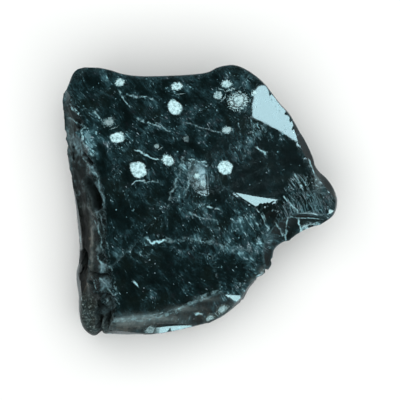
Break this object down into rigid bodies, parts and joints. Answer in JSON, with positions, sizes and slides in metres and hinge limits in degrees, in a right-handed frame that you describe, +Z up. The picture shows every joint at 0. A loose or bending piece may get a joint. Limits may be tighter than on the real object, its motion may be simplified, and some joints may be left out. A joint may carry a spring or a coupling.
{
  "type": "snowflake obsidian",
  "caption": "Lump of black volcanic glass with hollow breaks, a rough flank and white crystal snowflakes, resting on its flat back.",
  "frame": {"origin": "middle of the flat back that the stone lies on, at the bottom centre of its bounding box", "axes": "+Z up through the broad broken face, the thinnest way through the stone; +X along its longest side, towards the pointed end; +Y towards the straight rounded edge"},
  "size_m": [0.0548, 0.0542, 0.0219],
  "materials": {
    "obsidian": "glossy broken volcanic glass, black with a cold green-blue cast"
  },
  "bodies": {
    "root": {"obsidian": "obsidian"}
  },
  "joints": []
}
